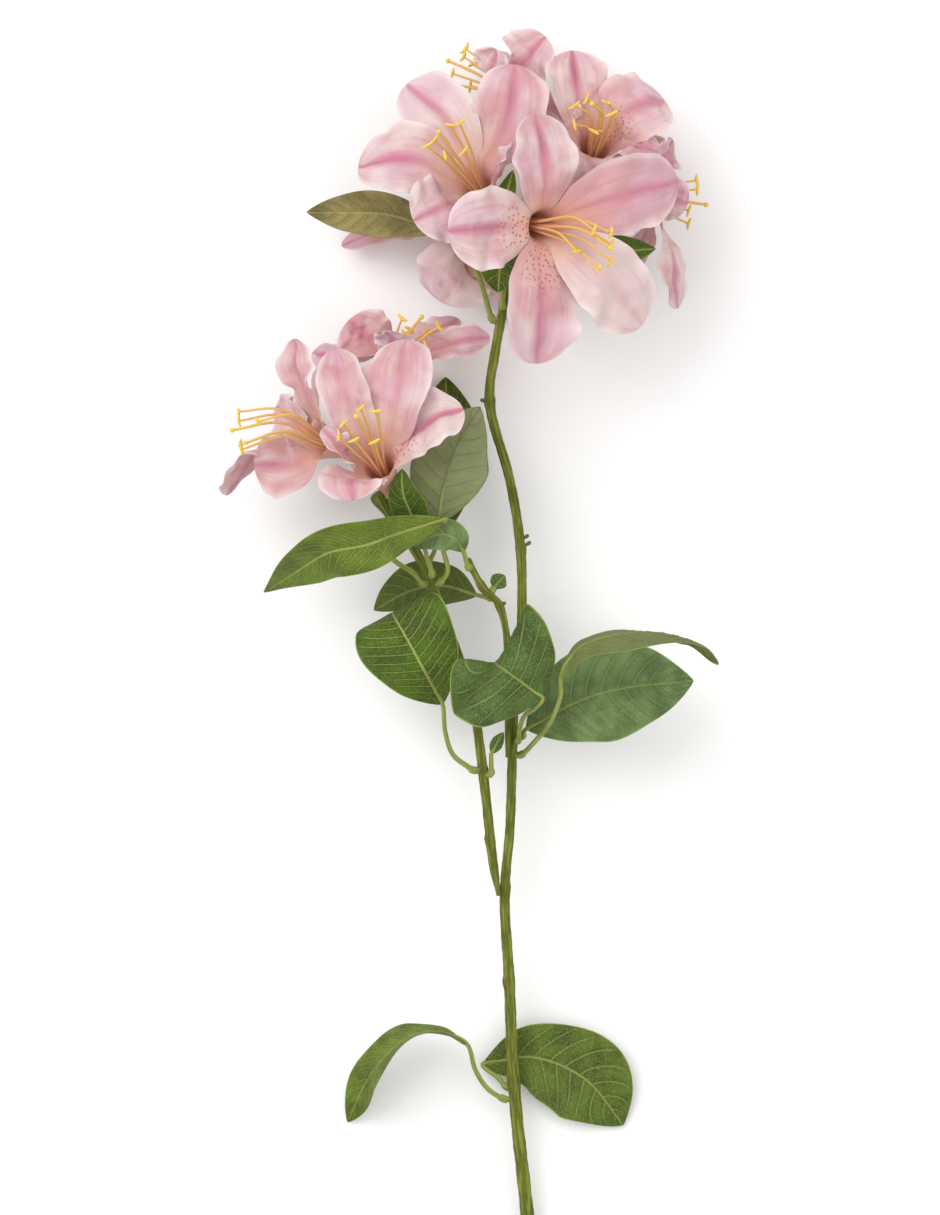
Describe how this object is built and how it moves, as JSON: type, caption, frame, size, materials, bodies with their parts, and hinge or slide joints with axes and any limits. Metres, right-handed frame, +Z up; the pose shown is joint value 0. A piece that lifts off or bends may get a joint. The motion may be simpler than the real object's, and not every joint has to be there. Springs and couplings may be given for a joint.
{
  "type": "cut azalea",
  "caption": "Cut azalea spray lying flat: woody stem with a side branch, pale pink funnel flowers in two trusses, long yellow stamens and dark green elliptic leaves.",
  "frame": {"origin": "middle of the spray's footprint, on the surface that it lies on", "axes": "+Y along the main stem from the cut end towards the flowers, +X to the right seen from above, +Z up from the surface"},
  "size_m": [0.2, 0.5268, 0.1093],
  "materials": {
    "petals": "soft matt petals, peach pink with darker midribs and red-brown speckles near the throat",
    "stamens": "matt yellow filaments and anthers",
    "leaves": "satin dark green upper side with pale veins, grey-green underside",
    "stems": "matt olive green, finely ridged, lighter petioles and pedicels"
  },
  "bodies": {
    "root": {"main_stem": "stems", "left_branch": "stems", "side_twig": "stems", "truss_leaf_left": "leaves", "truss_leaf_right": "leaves", "truss_leaf_low": "leaves", "truss_bract": "leaves", "branch_leaf_under_bloom": "leaves", "branch_leaf_tall": "leaves", "branch_leaf_back": "leaves", "branch_leaf_left": "leaves", "branch_leaf_broad": "leaves", "branch_leaf_small": "leaves", "twig_leaf_end": "leaves", "twig_leaf_back": "leaves", "twig_leaf_small": "leaves", "whorl_leaf_centre": "leaves", "whorl_leaf_right": "leaves", "whorl_leaf_arching": "leaves", "foot_leaf_left": "leaves", "foot_leaf_right": "leaves", "top_front_corolla": "petals", "top_front_stamens": "stamens", "top_front_pedicel": "stems", "top_left_corolla": "petals", "top_left_stamens": "stamens", "top_left_pedicel": "stems", "top_right_corolla": "petals", "top_right_stamens": "stamens", "top_right_pedicel": "stems", "top_back_corolla": "petals", "top_back_stamens": "stamens", "top_back_pedicel": "stems", "right_back_corolla": "petals", "right_back_stamens": "stamens", "right_back_pedicel": "stems", "left_back_corolla": "petals", "left_back_stamens": "stamens", "left_back_pedicel": "stems", "low_front_corolla": "petals", "low_front_stamens": "stamens", "low_front_pedicel": "stems", "low_left_corolla": "petals", "low_left_stamens": "stamens", "low_left_pedicel": "stems", "low_back_corolla": "petals", "low_back_stamens": "stamens", "low_back_pedicel": "stems"}
  },
  "joints": []
}
